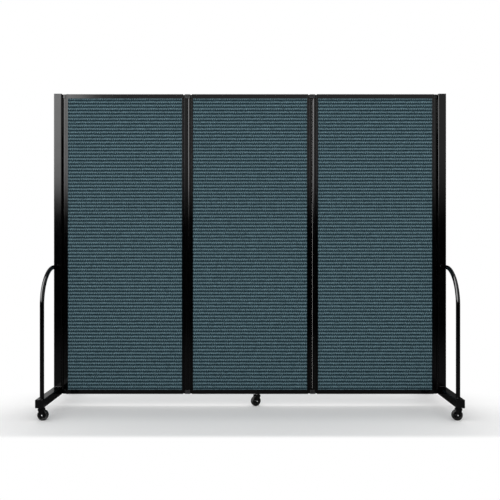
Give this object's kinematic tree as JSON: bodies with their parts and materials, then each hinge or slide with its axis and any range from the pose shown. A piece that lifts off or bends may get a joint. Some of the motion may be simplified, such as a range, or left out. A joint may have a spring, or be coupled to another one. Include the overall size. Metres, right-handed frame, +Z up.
{
  "type": "ward privacy screen",
  "caption": "Folding privacy screen: ribbed fabric boards in slim frames on full-length folding hinges, between square end posts with feet, push hoops and swivel casters.",
  "frame": {"origin": "on the floor, under the middle of the centre panel and of the open screen", "axes": "+X along the open screen to the right as seen from the front, -Y towards the front, +Z up"},
  "size_m": [1.9124, 0.5588, 1.524],
  "materials": {
    "frame_black": "gloss black powder coat on aluminium",
    "tube_black": "gloss black powder coat on steel tube",
    "cap_black": "satin moulded plastic",
    "fabric_slate": "ribbed slate blue woven cloth over a light board",
    "wheel_black": "moulded plastic",
    "tyre_black": "smooth rubber",
    "axle_steel": "bright zinc rivet"
  },
  "bodies": {
    "centre_panel": {"centre_panel_left_stile": "frame_black", "centre_panel_right_stile": "frame_black", "centre_panel_bottom_rail": "frame_black", "centre_panel_top_rail": "frame_black", "centre_panel_fabric_board": "fabric_slate"},
    "left_panel": {"left_panel_left_stile": "frame_black", "left_panel_right_stile": "frame_black", "left_panel_bottom_rail": "frame_black", "left_panel_top_rail": "frame_black", "left_panel_fabric_board": "fabric_slate"},
    "right_panel": {"right_panel_left_stile": "frame_black", "right_panel_right_stile": "frame_black", "right_panel_bottom_rail": "frame_black", "right_panel_top_rail": "frame_black", "right_panel_fabric_board": "fabric_slate"},
    "left_hinge": {"left_hinge_spine": "frame_black", "left_hinge_top_cap": "cap_black", "left_hinge_bottom_cap": "cap_black"},
    "right_hinge": {"right_hinge_spine": "frame_black", "right_hinge_top_cap": "cap_black", "right_hinge_bottom_cap": "cap_black"},
    "left_end_frame": {"left_post": "tube_black", "left_post_cap": "cap_black", "left_foot": "tube_black", "left_front_foot_cap": "cap_black", "left_rear_foot_cap": "cap_black", "left_front_hoop": "tube_black", "left_rear_hoop": "tube_black", "left_post_top_bracket": "tube_black", "left_post_bottom_bracket": "tube_black"},
    "right_end_frame": {"right_post": "tube_black", "right_post_cap": "cap_black", "right_foot": "tube_black", "right_front_foot_cap": "cap_black", "right_rear_foot_cap": "cap_black", "right_front_hoop": "tube_black", "right_rear_hoop": "tube_black", "right_post_top_bracket": "tube_black", "right_post_bottom_bracket": "tube_black"},
    "left_front_swivel": {"left_front_caster_fork": "frame_black", "left_front_caster_axle": "axle_steel"},
    "left_front_wheel": {"left_front_caster_wheel": "wheel_black", "left_front_caster_tyre": "tyre_black"},
    "left_rear_swivel": {"left_rear_caster_fork": "frame_black", "left_rear_caster_axle": "axle_steel"},
    "left_rear_wheel": {"left_rear_caster_wheel": "wheel_black", "left_rear_caster_tyre": "tyre_black"},
    "right_front_swivel": {"right_front_caster_fork": "frame_black", "right_front_caster_axle": "axle_steel"},
    "right_front_wheel": {"right_front_caster_wheel": "wheel_black", "right_front_caster_tyre": "tyre_black"},
    "right_rear_swivel": {"right_rear_caster_fork": "frame_black", "right_rear_caster_axle": "axle_steel"},
    "right_rear_wheel": {"right_rear_caster_wheel": "wheel_black", "right_rear_caster_tyre": "tyre_black"},
    "centre_swivel": {"centre_caster_fork": "frame_black", "centre_caster_axle": "axle_steel"},
    "centre_wheel": {"centre_caster_wheel": "wheel_black", "centre_caster_tyre": "tyre_black"}
  },
  "joints": [
    {"name": "left_inner_fold", "type": "hinge", "parent": "centre_panel", "child": "left_hinge", "pos_m": [-0.2957, 0, 0], "axis": [0, 0, 1], "range_deg": [-90, 90]},
    {"name": "left_outer_fold", "type": "hinge", "parent": "left_hinge", "child": "left_panel", "pos_m": [-0.3157, 0, 0], "axis": [0, 0, 1], "range_deg": [-90, 90]},
    {"name": "left_end_turn", "type": "hinge", "parent": "left_panel", "child": "left_end_frame", "pos_m": [-0.9071, 0, 0], "axis": [0, 0, -1], "range_deg": [-90, 90]},
    {"name": "right_inner_fold", "type": "hinge", "parent": "centre_panel", "child": "right_hinge", "pos_m": [0.2957, 0, 0], "axis": [0, 0, 1], "range_deg": [-90, 90]},
    {"name": "right_outer_fold", "type": "hinge", "parent": "right_hinge", "child": "right_panel", "pos_m": [0.3157, 0, 0], "axis": [0, 0, 1], "range_deg": [-90, 90]},
    {"name": "right_end_turn", "type": "hinge", "parent": "right_panel", "child": "right_end_frame", "pos_m": [0.9071, 0, 0], "axis": [0, 0, -1], "range_deg": [-90, 90]},
    {"name": "left_front_caster_swivel", "type": "hinge", "parent": "left_end_frame", "child": "left_front_swivel", "pos_m": [-0.93715, -0.26, 0], "axis": [0, 0, 1], "continuous": true},
    {"name": "left_front_wheel_roll", "type": "hinge", "parent": "left_front_swivel", "child": "left_front_wheel", "pos_m": [-0.92715, -0.26, 0.024], "axis": [0, 1, 0], "continuous": true},
    {"name": "left_rear_caster_swivel", "type": "hinge", "parent": "left_end_frame", "child": "left_rear_swivel", "pos_m": [-0.93715, 0.26, 0], "axis": [0, 0, 1], "continuous": true},
    {"name": "left_rear_wheel_roll", "type": "hinge", "parent": "left_rear_swivel", "child": "left_rear_wheel", "pos_m": [-0.93715, 0.25, 0.024], "axis": [1, 0, 0], "continuous": true},
    {"name": "right_front_caster_swivel", "type": "hinge", "parent": "right_end_frame", "child": "right_front_swivel", "pos_m": [0.93715, -0.26, 0], "axis": [0, 0, 1], "continuous": true},
    {"name": "right_front_wheel_roll", "type": "hinge", "parent": "right_front_swivel", "child": "right_front_wheel", "pos_m": [0.92715, -0.26, 0.024], "axis": [0, 1, 0], "continuous": true},
    {"name": "right_rear_caster_swivel", "type": "hinge", "parent": "right_end_frame", "child": "right_rear_swivel", "pos_m": [0.93715, 0.26, 0], "axis": [0, 0, 1], "continuous": true},
    {"name": "right_rear_wheel_roll", "type": "hinge", "parent": "right_rear_swivel", "child": "right_rear_wheel", "pos_m": [0.93715, 0.25, 0.024], "axis": [1, 0, 0], "continuous": true},
    {"name": "centre_caster_swivel", "type": "hinge", "parent": "centre_panel", "child": "centre_swivel", "pos_m": [0.037, 0, 0], "axis": [0, 0, 1], "continuous": true},
    {"name": "centre_wheel_roll", "type": "hinge", "parent": "centre_swivel", "child": "centre_wheel", "pos_m": [0.02834, -0.005, 0.024], "axis": [0.5, -0.866, 0], "continuous": true}
  ]
}
